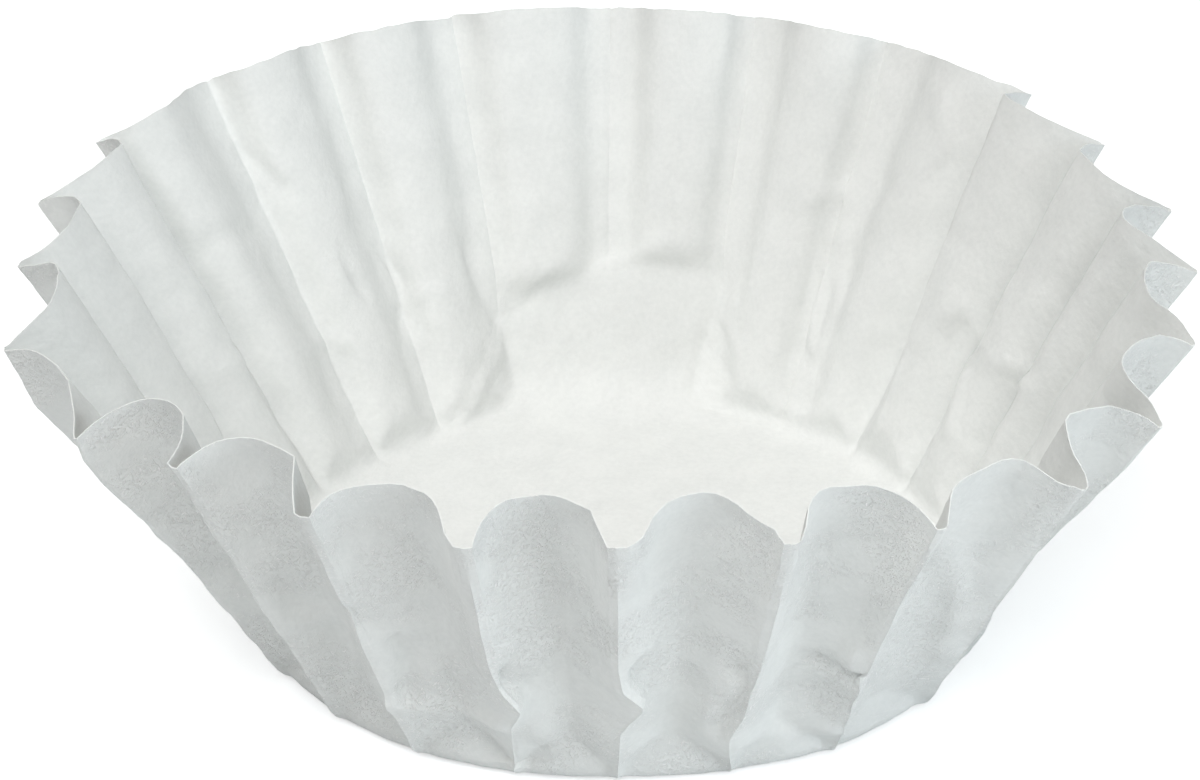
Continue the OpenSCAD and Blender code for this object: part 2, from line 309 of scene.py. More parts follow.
@dataclass(frozen=True)
class FilterPaper:
    """Uncoated white filter paper: matt, with fibres lying in every direction.

    Attributes:
        white: Colour of the paper's body.
        shade: Colour of its thinner places.
        fibre_glint: Colour of the pale fibre flecks, a painted glint of fibres catching light.
        glint_inside: How strongly the painted fibre glints show on the inner side, from 0 to 1.
        glint_outside: How strongly they show on the outer side, as painted grazing light.
        glow: Share of the light that comes through the sheet.
        roughness: Roughness of the surface.
        specular: Level of its gloss.
        relief: Unit of the heights below, in metres.
        fibre_height: How far the fibres stand up.
        crinkle_height: How far the fine crinkles stand up.
        mottle_height: How far the thicker places stand up.
        cloud_scale: Soft clouds of thicker pulp on a millimetre.
        mottle_scale: Small thicker places on a millimetre.
        crinkle_scale: Fine crinkles on a millimetre.
        patch_scale: Patches with many fibres on a millimetre.
        fibre_scale: Fibres on a millimetre, along them and across them.
        fibre_turns: Directions in which they lie, in degrees.
        seed: Fixes where the fibres lie.
    """

    white: Colour = (0.843, 0.856, 0.840)
    shade: Colour = (0.785, 0.800, 0.786)
    fibre_glint: Colour = (0.99, 0.99, 0.98)
    glint_inside: float = 0.08
    glint_outside: float = 0.98
    glow: float = 0.07
    roughness: float = 0.74
    specular: float = 0.35
    relief: float = 0.00010
    fibre_height: float = 0.9
    crinkle_height: float = 2.8
    mottle_height: float = 0.35
    cloud_scale: float = 0.16
    mottle_scale: float = 1.1
    crinkle_scale: float = 0.42
    patch_scale: float = 0.07
    fibre_scale: tuple[float, float, float] = (0.8, 3.6, 1.0)
    fibre_turns: tuple[float, ...] = (17.0, 76.0, 139.0)
    seed: float = 7.0

    def material(self) -> bpy.types.Material:
        """Builds the paper's material.

        Returns:
            A node material that reads the sheet's own flat coordinates.
        """
        made, bench = blank_material("filter_paper_white")
        chart = bench.node("ShaderNodeTexCoord").outputs["UV"]
        sheet_mm = bench.mapped(chart, (CHART_SIZE, CHART_SIZE, 1.0))
        cloud = bench.noise(sheet_mm, self.cloud_scale, 4.0, self.seed)
        mottle = bench.noise(sheet_mm, self.mottle_scale, 3.0, self.seed + 3.0)
        depth = bench.maths("MULTIPLY_ADD", cloud, 0.5, bench.maths("MULTIPLY", mottle, 0.5))
        tone = bench.ramp(depth, (0.36, 0.60), (self.shade, self.white))
        # Pale fibre flecks: real fibres, painted brighter as a glint of light, stronger on the
        # outer side.
        fibre_glints = self._fibre_glints(bench, sheet_mm)
        colour = bench.mixed(fibre_glints, tone, self.fibre_glint)
        stretched = bench.mapped(sheet_mm, (1.0, 0.55, 1.0), 24.0)
        crinkle = bench.noise(stretched, self.crinkle_scale, 3.0, self.seed + 5.0)
        fine = bench.maths("MULTIPLY", mottle, self.mottle_height)
        coarse = bench.maths("MULTIPLY_ADD", crinkle, self.crinkle_height, fine)
        height = bench.maths("MULTIPLY_ADD", fibre_glints, self.fibre_height, coarse)
        bump = bench.node("ShaderNodeBump", {
            "Strength": 1.0, "Distance": self.relief, "Height": height})
        body = bench.node("ShaderNodeBsdfPrincipled", {
            "Roughness": self.roughness, "Specular IOR Level": self.specular,
            "Base Color": colour, "Normal": bump.outputs["Normal"]})
        through = bench.node("ShaderNodeBsdfTranslucent", {"Color": colour})
        blend = bench.node("ShaderNodeMixShader", {
            0: self.glow, 1: body.outputs["BSDF"], 2: through.outputs["BSDF"]})
        bench.node("ShaderNodeOutputMaterial", {"Surface": blend.outputs["Shader"]})
        return made

    def _fibre_glints(self, bench: Bench, sheet_mm: Socket) -> Socket:
        """Lays short pale fibres over each other in three directions, in patches.

        Args:
            bench: The material's nodes.
            sheet_mm: Flat coordinates in millimetres.

        Returns:
            How strongly a fibre shows at each place, as real fibre with a painted glint,
            which is more on the outer side as painted grazing light.
        """
        laid = None
        for turn in self.fibre_turns:
            grain = bench.mapped(sheet_mm, self.fibre_scale, turn)
            fibre = bench.stretched(bench.noise(grain, 1.0, 2.0, self.seed + turn), 0.58, 0.65)
            laid = fibre if laid is None else bench.maths("MAXIMUM", laid, fibre)
        patch = bench.noise(sheet_mm, self.patch_scale, 2.0, self.seed + 9.0)
        patch = bench.stretched(patch, 0.40, 0.55)
        # Painted light: the fibre glints are far stronger on the outer side, standing for the
        # grazing light there.
        outer = bench.node("ShaderNodeAttribute", attribute_name="outer_side").outputs["Fac"]
        strength = bench.maths("MULTIPLY_ADD", outer, self.glint_outside - self.glint_inside,
                               self.glint_inside)
        return bench.maths("MULTIPLY", bench.maths("MULTIPLY", laid, patch), strength)


class Bench:
    """A node tree with short ways to add and join nodes."""

    def __init__(self, tree: bpy.types.NodeTree) -> None:
        """Takes the tree that the nodes go into, and empties it."""
        self.tree = tree
        tree.nodes.clear()

    def node(self, kind: str, feeds: dict[str | int, Value] | None = None,
             **options: str) -> bpy.types.Node:
        """Adds a node.

        Args:
            kind: Its type.
            feeds: What goes into its inputs, by name or number: another node's output or a value.
            options: Its own options.

        Returns:
            The node.
        """
        made = self.tree.nodes.new(kind)
        for name, option in options.items():
            setattr(made, name, option)
        for name, value in (feeds or {}).items():
            if isinstance(value, Socket):
                self.tree.links.new(value, made.inputs[name])
            else:
                made.inputs[name].default_value = value
        return made

    def maths(self, operation: str, first: Value, second: Value = 0.0,
              third: Value = 0.0) -> Socket:
        """Works a number out from up to three others."""
        feeds = {0: first, 1: second, 2: third}
        return self.node("ShaderNodeMath", feeds, operation=operation).outputs[0]

    def vector(self, x: Value = 0.0, y: Value = 0.0, z: Value = 0.0) -> Socket:
        """Joins three numbers into a vector."""
        return self.node("ShaderNodeCombineXYZ", {"X": x, "Y": y, "Z": z}).outputs[0]

    def mapped(self, place: Socket, scale: tuple[float, float, float],
               turn: float = 0.0) -> Socket:
        """Turns coordinates about Z, by a number of degrees, and then scales them."""
        spin = self.node("ShaderNodeVectorRotate", {"Vector": place, "Angle": math.radians(turn)},
                         rotation_type="Z_AXIS")
        return self.node("ShaderNodeVectorMath", {0: spin.outputs[0], 1: scale},
                         operation="MULTIPLY").outputs[0]

    def noise(self, place: Socket, scale: Value, detail: float, seed: Value) -> Socket:
        """Adds a noise about 0.5, whose fourth coordinate is the seed."""
        feeds = {"Vector": place, "W": seed, "Scale": scale, "Detail": detail, "Roughness": 0.55}
        return self.node("ShaderNodeTexNoise", feeds, noise_dimensions="4D").outputs[0]

    def ramp(self, value: Socket, places: tuple[float, float],
             colours: tuple[Colour, Colour]) -> Socket:
        """Turns a value into a colour between two, which stand at two places.

        Args:
            value: The value.
            places: Value at which each colour stands.
            colours: The colours.

        Returns:
            The colour.
        """
        made = self.node("ShaderNodeValToRGB", {0: value})
        for stop, place, colour in zip(made.color_ramp.elements, places, colours):
            stop.position = place
            stop.color = (*colour, 1.0)
        return made.outputs[0]

    def stretched(self, value: Socket, low: float, high: float) -> Socket:
        """Stretches the values between low and high over 0 to 1, and holds the rest."""
        feeds = {"Value": value, "From Min": low, "From Max": high}
        return self.node("ShaderNodeMapRange", feeds, interpolation_type="SMOOTHSTEP").outputs[0]

    def mixed(self, share: Socket, first: Socket, second: Colour) -> Socket:
        """Mixes a colour with a share of a fixed second one."""
        feeds = {"Factor": share, "A": first, "B": (*second, 1.0)}
        return self.node("ShaderNodeMix", feeds, data_type="RGBA").outputs["Result"]

    def fact(self, name: str, kind: str = "FLOAT") -> Socket:
        """Reads what is written under a name on the sheet's points."""
        return self.node("GeometryNodeInputNamedAttribute", {"Name": name},
                         data_type=kind).outputs["Attribute"]

    def moved(self, geometry: Socket, way: str, value: Socket) -> Socket:
        """Moves a geometry's points to a "Position" or by an "Offset"."""
        return self.node("GeometryNodeSetPosition", {"Geometry": geometry, way: value}).outputs[0]

    def seen_directly(self) -> Socket:
        """Gives 1 to camera, glossy and transmitted rays, and 0 to the rays that carry light."""
        path = self.node("ShaderNodeLightPath").outputs
        seen = self.maths("MAXIMUM", path["Is Camera Ray"], path["Is Glossy Ray"])
        return self.maths("MAXIMUM", seen, path["Is Transmission Ray"])


def blank_material(name: str) -> tuple[bpy.types.Material, Bench]:
    """Makes an empty node material, with the bench for its nodes."""
    made = bpy.data.materials.new(name)
    made.use_nodes = True
    return made, Bench(made.node_tree)


@dataclass(frozen=True)
class StudioWhite:
    """A pale ground that the camera sees as white where no shadow lies on it.

    Attributes:
        colour: Colour of the ground.
        lift: Strength of the glow that camera, glossy and transmitted rays see.
    """

    colour: Colour = (0.83, 0.85, 0.86)
    lift: float = 0.50

    def material(self) -> bpy.types.Material:
        """Builds the ground's material.

        Returns:
            A matt material that keeps the object's shadow.
        """
        made, bench = blank_material("studio_white")
        ground = bench.node("ShaderNodeBsdfDiffuse", {"Color": (*self.colour, 1.0)})
        strength = bench.maths("MULTIPLY", bench.seen_directly(), self.lift)
        glow = bench.node("ShaderNodeEmission", {"Strength": strength})
        both = bench.node("ShaderNodeAddShader", {0: ground.outputs[0], 1: glow.outputs[0]})
        bench.node("ShaderNodeOutputMaterial", {"Surface": both.outputs[0]})
        return made


def smoothstep(value: np.ndarray) -> np.ndarray:
    """Eases from 0 at and below 0 to 1 at and above 1."""
    held = np.clip(value, 0.0, 1.0)
    return held * held * (3.0 - 2.0 * held)


def curved(share: np.ndarray | float, start: np.ndarray, corner: np.ndarray,
           end: np.ndarray) -> np.ndarray:
    """Goes a share of the way from start to end, on the curve that cuts the corner."""
    return (1.0 - share) ** 2 * start + 2.0 * share * (1.0 - share) * corner + share ** 2 * end


@dataclass
class FlutedWall:
    """The gathered wall of the filter, worked out from the rule that paper doesn't stretch.

    Attributes:
        base_radius: Radius of the base crease, in millimetres.
        run: Length of the wall up the paper, in millimetres.
        columns: Columns of points across one flute.
        row_count: Rows of points above the base crease.
        steepest: Steepest lean of a channel, in degrees.
        scallop: Length of the foot along the paper, as a share of the arc that it stands on.
        waist_top: Share of the wall's height below which the flutes stand as at their waists.
        greatest_gain: Greatest depth that is tried for a flute, as a share of the rim's.
        tries: How many depths are tried, each halving what is left between too low and too high.
        fade: Power of the height left to the rim with which the base's spread dies away.
        soften: How far the corners of a waist are rounded off, as a share of the paper.
        gather: How much closer the columns stand at a fold than away from it.
        gather_width: Width of the place where they do, as a share of the paper.
        ragged: How far the cut edge strays from its line, in millimetres.
        edge_seed: Fixes where the cut edge strays.
        rows: Runs of the rows, in millimetres.
    """

    base_radius: float = 54.0
    run: float = 66.5
    columns: int = 28
    row_count: int = 57
    steepest: float = 88.0
    scallop: float = 1.05
    waist_top: float = 0.66
    greatest_gain: float = 40.0
    tries: int = 27
    fade: float = 1.4
    soften: float = 0.05
    gather: float = 2.2
    gather_width: float = 0.035
    ragged: float = 0.16
    edge_seed: int = 17
    rows: np.ndarray = field(init=False)

    def __post_init__(self) -> None:
        """Spaces the rows up the wall, closer beside the base crease and at the rim."""
        share = np.linspace(0.0, 1.0, self.row_count + 1)
        eased = 0.55 * (share - 0.10 * np.sin(2.0 * math.pi * share) / math.pi)
        eased += 0.45 * share ** 1.5
        self.rows = self.run * eased / eased[-1]

    def place(self, bearing: np.ndarray, lean: np.ndarray, run: np.ndarray,
              spread: np.ndarray | float = 0.0) -> np.ndarray:
        """Finds points on the wall.

        Args:
            bearing: Bearings in degrees.
            lean: Leans in degrees.
            run: Distances up the paper.
            spread: How far the base has spread there, in millimetres.

        Returns:
            The points, in millimetres.
        """
        turn = np.radians(bearing)
        rise = np.radians(lean)
        radius = self.base_radius + spread + run * np.cos(rise)
        return np.stack([radius * np.sin(turn), -radius * np.cos(turn), run * np.sin(rise)], -1)

    def shape(self) -> tuple[np.ndarray, np.ndarray]:
        """Works out every point of the wall.

        Returns:
            Points by row and column, and the flute coordinate of each column.
        """
        share, bearing, lean, slack = self._rim()
        coordinate = np.arange(FLUTES)[:, None] + share
        ridge = self._ridge_line(bearing)
        height = (self.rows / self.run)[None, :, None]
        as_rim = smoothstep((height - self.waist_top) / (1.0 - self.waist_top))
        depth = ((lean - ridge)[:, None, :] * as_rim
                 + self._waists(share, lean - ridge)[:, None, :] * (1.0 - as_rim))
        foot, spread = self._foot(coordinate)
        level = np.zeros(share.shape)
        edge = self.place(foot, level, level, spread)
        start = np.linalg.norm(np.diff(edge, axis=1), axis=2).sum(axis=1) * self.scallop
        end = 2.0 * math.pi * (self.base_radius + self.run) / FLUTES * slack
        paper = start[:, None] * (1.0 - height[:, :, 0]) + end[:, None] * height[:, :, 0]
        turn = foot[:, None, :] * (1.0 - height) + bearing[:, None, :] * height
        spread = spread[:, None, :] * (1.0 - height) ** self.fade
        points = self._gathered(turn, ridge[:, None, :], depth, spread, paper)[:, :, :-1]
        rows = np.transpose(points, (1, 0, 2, 3)).reshape(len(self.rows), -1, 3)
        self._fray(rows)
        return rows, coordinate[:, :-1].reshape(-1)

    def _gathered(self, turn: np.ndarray, ridge: np.ndarray, depth: np.ndarray,
                  spread: np.ndarray, paper: np.ndarray) -> np.ndarray:
        """Finds how deep each flute is when it takes up just the paper that it has.

        Args:
            turn: Bearings by flute, row and column, in degrees.
            ridge: Leans of the line from ridge to ridge, in degrees.
            depth: How far in each column stands, in degrees of lean.
            spread: How far the base has spread, in millimetres.
            paper: Length of paper by flute and row, in millimetres.

        Returns:
            The points by flute, row and column.
        """
        low = np.zeros(paper.shape)
        high = np.full(paper.shape, self.greatest_gain)
        for _ in range(self.tries):
            gain = (low + high) / 2.0
            lean = np.minimum(ridge + gain[:, :, None] * depth, self.steepest)
            points = self.place(turn, lean, self.rows[None, :, None], spread)
            short = np.linalg.norm(np.diff(points, axis=2), axis=3).sum(axis=2) < paper
            low = np.where(short, gain, low)
            high = np.where(short, high, gain)
        return points

    def _foot(self, coordinate: np.ndarray) -> tuple[np.ndarray, np.ndarray]:
        """Finds where the wall stands on the base crease, which is no longer quite round.

        Args:
            coordinate: Flute coordinates.

        Returns:
            The bearing in degrees, and how far the crease has spread, in millimetres.
        """
        ridges = np.arange(-2, FLUTES + 3)
        bearing, radius = np.array(FOOT)[ridges % FLUTES].T
        bearing = bearing + 360.0 * (ridges // FLUTES)
        wanted = coordinate.ravel()
        found = self._smooth(ridges, bearing, [], wanted)
        wider = self._smooth(ridges, radius - self.base_radius, [], wanted)
        return found.reshape(coordinate.shape), wider.reshape(coordinate.shape)

    def _fray(self, rows: np.ndarray) -> None:
        """Makes the cut edge, which is the last row, stray a little from its line."""
        loose = np.random.default_rng(self.edge_seed).normal(size=rows.shape[1])
        soft = (np.roll(loose, 1) + 2.0 * loose + np.roll(loose, -1)) / 4.0
        upward = rows[-1] - rows[-2]
        upward /= np.linalg.norm(upward, axis=1, keepdims=True)
        rows[-1] += upward * (soft * self.ragged)[:, None]

    @staticmethod
    def _ridge_line(bearing: np.ndarray) -> np.ndarray:
        """Reads the lean of the line from ridge to ridge at bearings by flute and column."""
        ends = np.array([(flute.bearing, flute.lean) for flute in (*RIM, RIM[0])])
        ends[-1, 0] += 360.0
        span, rise = np.diff(ends, axis=0).T
        return ends[:-1, 1:] + (bearing - ends[:-1, :1]) / span[:, None] * rise[:, None]

    def _waists(self, share: np.ndarray, depth: np.ndarray) -> np.ndarray:
        """Works out how far in each flute stands lower down.

        Args:
            share: Share of the paper at each column of each flute.
            depth: How far in each column stands at the rim, in degrees of lean.

        Returns:
            How far in it stands lower down, which is as at the rim where no waist is given.
        """
        found = depth.copy()
        for i, flute in enumerate(RIM):
            if flute.waist:
                place, inward = np.array(((0.0, 0.0), *flute.waist, (1.0, 0.0))).T
                shifts = np.linspace(-self.soften, self.soften, 5)
                rounded = np.mean([np.interp(share[i] + by, place, inward) for by in shifts], 0)
                rounded[[0, -1]] = 0.0
                found[i] = rounded * depth[i].max()
        return found

    def _rim(self) -> tuple[np.ndarray, np.ndarray, np.ndarray, np.ndarray]:
        """Runs a smooth line through the rim's places, with folds at tips and creases.

        Returns:
            The share of the paper, the bearing and the lean of each column of each flute, and
            the rim's length as a share of the flat disc's.
        """
        columns, slack = [], []
        for i, flute in enumerate(RIM):
            after = RIM[(i + 1) % FLUTES]
            end = after.bearing + (360.0 if i == FLUTES - 1 else 0.0)
            line = np.array([
                (flute.bearing, flute.lean),
                (flute.bearing + self._tip_angle(flute), flute.lean + TIP_RISE),
                *flute.channel,
                (end - self._tip_angle(after), after.lean + TIP_RISE),
                (end, after.lean),
            ])
            points = self.place(line[:, 0], line[:, 1], np.full(len(line), self.run))
            steps = np.linalg.norm(np.diff(points, axis=0), axis=1)
            along = np.concatenate([[0.0], np.cumsum(steps)])
            length = along[-1]
            along /= length
            count = len(flute.channel)
            folds = [] if flute.soft else [1, 2 + flute.crease % count, 2 + count]
            share = self._spread(along[folds])
            columns.append([share] + [self._smooth(along, line[:, k], folds, share)
                                      for k in (0, 1)])
            disc = 2.0 * math.pi * (self.base_radius + self.run) / FLUTES
            slack.append(min(length / disc, 1.0))
        return *np.array(columns).transpose(1, 0, 2), np.array(slack)

    def _tip_angle(self, flute: Flute) -> float:
        """Half the width of a ridge's tip, as an angle round the rim."""
        radius = self.base_radius + self.run * math.cos(math.radians(flute.lean))
        return math.degrees(flute.tip / radius)

    def _spread(self, folds: np.ndarray) -> np.ndarray:
        """Spreads the columns over a flute, closer together at its folds.

        Args:
            folds: Shares of the paper where the folds are.

        Returns:
            The share of each column, from 0 to 1, with a column on each fold.
        """
        fine = np.linspace(0.0, 1.0, 801)
        density = np.ones(len(fine))
        for fold in (0.0, *folds, 1.0):
            density += self.gather * np.exp(-((fine - fold) / self.gather_width) ** 2)
        total = np.concatenate([[0.0], np.cumsum((density[1:] + density[:-1]) / 2.0)])
        share = np.interp(np.linspace(0.0, total[-1], self.columns + 1), total, fine)
        for fold in folds:
            share[1 + np.argmin(np.abs(share[1:-1] - fold))] = fold
        return share

    @staticmethod
    def _smooth(along: np.ndarray, values: np.ndarray, folds: list[int],
                wanted: np.ndarray) -> np.ndarray:
        """Runs a smooth curve through values, broken at the folds.

        Args:
            along: Shares at which the values are known.
            values: The values.
            folds: Which of them are folds.
            wanted: Shares at which the curve is read.

        Returns:
            The curve's value at each wanted share.
        """
        found = np.zeros(len(wanted))
        ends = sorted({0, *folds, len(along) - 1})
        for first, last in zip(ends[:-1], ends[1:]):
            place = along[first:last + 1]
            value = values[first:last + 1]
            step = np.diff(place)
            slope = np.diff(value) / step
            way = np.full(len(place), slope[0])
            if len(place) > 2:
                way[1:-1] = step[1:] * slope[:-1] + step[:-1] * slope[1:]
                way[1:-1] /= step[1:] + step[:-1]
                way[0] = 1.5 * slope[0] - 0.5 * way[1]
                way[-1] = 1.5 * slope[-1] - 0.5 * way[-2]
            inside = (wanted >= place[0]) & (wanted <= place[-1])
            asked = wanted[inside]
            low = np.clip(np.searchsorted(place, asked) - 1, 0, len(step) - 1)
            high = low + 1
            part = (asked - place[low]) / step[low]
            rest = 1.0 - part
            found[inside] = (value[low] * (1.0 + 2.0 * part) * rest ** 2
                             + way[low] * step[low] * part * rest ** 2
                             + value[high] * part * part * (3.0 - 2.0 * part)
                             - way[high] * step[low] * part * part * rest)
        return found


@dataclass
class SprungPanel:
    """The place at the back where the base crease has sprung open into a smooth bend.

    Attributes:
        left: Flat X of its left side at the foot and at the top, in millimetres.
        right: Flat X of its right side at the foot and at the top, in millimetres.
        foot: Flat Y of its foot, and how far its sides run up from there.
        top: Flat Y of its upper edge at the left side, the middle and the right side.
        onset: Flat Y where it begins, on the level floor.
        bend_start: Flat Y where the floor starts to rise.
        bend_radius: Radius of the bend.
        lean: Lean of the panel above the table, in degrees.
        edge: Width of the blend into the fluted wall at its sides.
        brow: Width of the blend along its upper edge.
    """

    left: tuple[float, float] = (-16.0, -19.0)
    right: tuple[float, float] = (16.5, 21.0)
    foot: tuple[float, float] = (50.0, 24.0)
    top: tuple[float, float, float] = (72.0, 76.5, 78.0)
    onset: float = 40.0
    bend_start: float = 46.0
    bend_radius: float = 12.0
    lean: float = 65.5
    edge: float = 3.0
    brow: float = 4.0

    def fold(self, flat: np.ndarray, points: np.ndarray) -> np.ndarray:
        """Moves the points of the panel onto its bend.

        Args:
            flat: Flat X and Y of every point, in millimetres.
            points: The points of the fluted wall and base.

        Returns:
            The points with the panel blended in.
        """
        x, y = flat.T
        rise = math.radians(self.lean)
        turned = np.clip((y - self.bend_start) / self.bend_radius, 0.0, rise)
        beyond = np.maximum(y - self.bend_start - rise * self.bend_radius, 0.0)
        back = np.minimum(y, self.bend_start) + self.bend_radius * np.sin(turned)
        back += beyond * math.cos(rise)
        high = self.bend_radius * (1.0 - np.cos(turned)) + beyond * math.sin(rise)
        climb = (y - self.foot[0]) / self.foot[1]
        left = np.interp(climb, (0.0, 1.0), self.left)
        right = np.interp(climb, (0.0, 1.0), self.right)
        top = np.interp(x, (self.left[1], 0.0, self.right[1]), self.top)
        share = smoothstep((x - left) / self.edge / 2.0 + 0.5)
        share *= smoothstep((right - x) / self.edge / 2.0 + 0.5)
        share *= smoothstep((top - y) / self.brow / 2.0 + 0.5)
        share[y <= self.onset] = 0.0
        return points + (np.stack([x, back, high], -1) - points) * share[:, None]


@dataclass
class FilterSheet:
    """The whole filter: one sheet of paper, folded, sprung, creased and dented.

    Attributes:
        thickness: Thickness of the paper, in metres.
        flat_size: Diameter of the disc before it was pressed, in metres. Not used.
        cockle_height: Height of the soft cockles, in metres.
        cockle_size: Distance between cockles on the flat sheet, in metres.
        wrinkle_height: Height of the fine wrinkles, in metres.
        wrinkle_size: Distance between wrinkles on the flat sheet, in metres.
        seed: Fixes the cockles and the wrinkles.
        wall: The fluted wall.
        panel: The sprung panel at the back.
        rounding: Length of the rounding each side of the base crease, in millimetres.
        evening: Length over which the base's points even out inwards, in millimetres.
        dent_fall: How steeply a dent falls away from its middle.
        sharp_angle: Angle from which an edge is a sharp fold, in degrees.
    """

    thickness: float = 0.00015
    flat_size: float = 0.241
    cockle_height: float = 0.0022
    cockle_size: float = 0.011
    wrinkle_height: float = 0.0006
    wrinkle_size: float = 0.0045
    seed: float = 11.0
    wall: FlutedWall = field(default_factory=FlutedWall)
    panel: SprungPanel = field(default_factory=SprungPanel)
    rounding: float = 3.4
    evening: float = 8.0
    dent_fall: float = 1.2
    sharp_angle: float = 55.0

    def build(self, paper: bpy.types.Material) -> bpy.types.Object:
        """Builds the sheet and gives it its thickness and finish.

        Args:
            paper: The sheet's material.

        Returns:
            The finished piece, as a plain mesh at the origin.
        """
        flat, points, faces = self._lay_out()
        points = self.panel.fold(flat, self._bent(flat, points))
        sheet = bpy.data.objects.new("filter_sheet", self._flat_mesh(flat, points, faces))
        bpy.context.collection.objects.link(sheet)
        self._press(sheet, paper)
        thick = sheet.modifiers.new("paper_thickness", "SOLIDIFY")
        thick.thickness = self.thickness
        thick.offset = -1.0
        self._bake(sheet)
        return sheet

    def _lay_out(self) -> tuple[np.ndarray, np.ndarray, list[tuple[int, ...]]]:
        """Lays out the wall and the base as one sheet.

        Returns:
            Flat X and Y of each point, its place in the fluted filter, and the faces.
        """
        rows, coordinate = self.wall.shape()
        columns = len(coordinate)
        angle = np.radians(FLUTE_ANGLE * coordinate)
        radius = self.wall.base_radius
        landing = self._round_foot(rows)
        ray = np.stack([np.sin(angle), -np.cos(angle)], -1)
        flat = [ray * (radius + run) for run in self.wall.rows]
        points = [*rows]
        faces: list[tuple[int, ...]] = []
        for row in range(len(rows) - 1):
            faces.extend(self._band(row * columns, (row + 1) * columns, columns, columns))
        below, below_count, made = 0, columns, len(rows) * columns
        for ring, count in self._base_rings(columns):
            even = np.linspace(0.0, 2.0 * math.pi, count, endpoint=False)
            share = min(1.0, (radius - ring) / self.evening)
            turned = angle[:: columns // count] * (1.0 - share) + even * share
            flat.append(np.stack([np.sin(turned), -np.cos(turned)], -1) * ring)
            points.append(self._base_ring(ring, np.degrees(turned), coordinate, landing))
            faces.extend(self._band(made, below, count, below_count))
            below, below_count, made = made, count, made + count
        flat.append(np.zeros((1, 2)))
        points.append(np.zeros((1, 3)))
        faces.extend((made, below + (k + 1) % below_count, below + k) for k in range(below_count))
        return np.concatenate(flat), np.concatenate(points), faces

    def _round_foot(self, rows: np.ndarray) -> np.ndarray:
        """Rounds the wall off where it meets the base.

        Args:
            rows: The wall's points by row and column. Those near the base are moved.

        Returns:
            Start, corner and end of the rounding at each column.
        """
        runs = self.wall.rows
        row = int(np.argmin(np.abs(runs - self.rounding)))
        end = rows[row].copy()
        corner = rows[0].copy()
        start = corner * (1.0 - runs[row] / self.wall.base_radius)
        for k in range(row):
            rows[k] = curved((runs[k] + runs[row]) / (2.0 * runs[row]), start, corner, end)
        return np.stack([start, corner, end])

    def _base_ring(self, ring: float, turned: np.ndarray, coordinate: np.ndarray,
                   landing: np.ndarray) -> np.ndarray:
        """Places one ring of the base, lifted where it rounds up into the wall.

        Args:
            ring: Radius of the ring on the flat disc.
            turned: Bearings of its points on the flat disc.
            coordinate: Flute coordinates of the wall's columns.
            landing: Start, corner and end of the rounding at each column.

        Returns:
            The ring's points, in millimetres.
        """
        radius = self.wall.base_radius
        flutes = turned / FLUTE_ANGLE
        start, corner, end = (
            np.stack([np.interp(flutes, coordinate, line[:, axis], period=FLUTES)
                      for axis in range(3)], -1)
            for line in landing)
        length = radius * (1.0 - np.linalg.norm(start[0]) / np.linalg.norm(corner[0]))
        if radius - ring >= length:
            return corner * (ring / radius)
        return curved((length - radius + ring) / (2.0 * length), start, corner, end)

    def _bent(self, flat: np.ndarray, points: np.ndarray) -> np.ndarray:
        """Bends the folds that have left their straight lines.

        Args:
            flat: Flat X and Y of every point, in millimetres.
            points: The points, in millimetres.

        Returns:
            The moved points.
        """
        reach = np.hypot(flat[:, 0], flat[:, 1])
        turn = np.arctan2(flat[:, 0], -flat[:, 1])
        bearing = np.arctan2(points[:, 0], -points[:, 1])
        along = np.stack([np.cos(bearing), np.sin(bearing), np.zeros(len(flat))], -1)
        outward = np.stack([np.sin(bearing), -np.cos(bearing), np.zeros(len(flat))], -1)
        moved = points.copy()
        for fold in BENT_FOLDS:
            angle = turn - math.radians(FLUTE_ANGLE * fold.flute)
            angle = (angle + math.pi) % (2.0 * math.pi) - math.pi
            width = np.where(angle > 0.0, fold.right, fold.left)
            share = np.maximum(1.0 - np.abs(angle * reach) / width, 0.0)
            run, aside, out = np.array(fold.bends).T
            height = reach - self.wall.base_radius
            moved += (share * np.interp(height, run, aside, 0.0, 0.0))[:, None] * along
            moved += (share * np.interp(height, run, out, 0.0, out[-1]))[:, None] * outward
        return moved

    @staticmethod
    def _base_rings(columns: int) -> list[tuple[float, int]]:
        """Radius and number of points of each ring on the base, from the crease inwards."""
        coarser = (
            (1, (53.6, 53.0, 52.2)),
            (2, (51.3, 50.4, 49.4, 48.4, 47.4, 46.3)),
            (4, np.arange(45.0, 24.0, -1.6)),
            (8, np.arange(22.6, 10.0, -1.9)),
            (16, (9.2, 7.2, 5.2)),
            (32, (3.0,)),
        )
        return [(radius, columns // step) for step, radii in coarser for radius in radii]

    @staticmethod
    def _band(inner: int, outer: int, inner_count: int,
              outer_count: int) -> list[tuple[int, ...]]:
        """Joins two rings of points, where the outer one may have twice as many.

        Args:
            inner: Index of the inner ring's first point.
            outer: Index of the outer ring's first point.
            inner_count: Number of points on the inner ring.
            outer_count: Number of points on the outer ring.

        Returns:
            The faces between them, pointing out of the filter.
        """
        faces: list[tuple[int, ...]] = []
        for k in range(inner_count):
            here, after = inner + k, inner + (k + 1) % inner_count
            if inner_count == outer_count:
                faces.append((here, after, outer + (k + 1) % outer_count, outer + k))
                continue
            left, middle = outer + 2 * k, outer + 2 * k + 1
            right = outer + (2 * k + 2) % outer_count
            faces.extend(((here, middle, left), (here, after, middle), (after, right, middle)))
        return faces

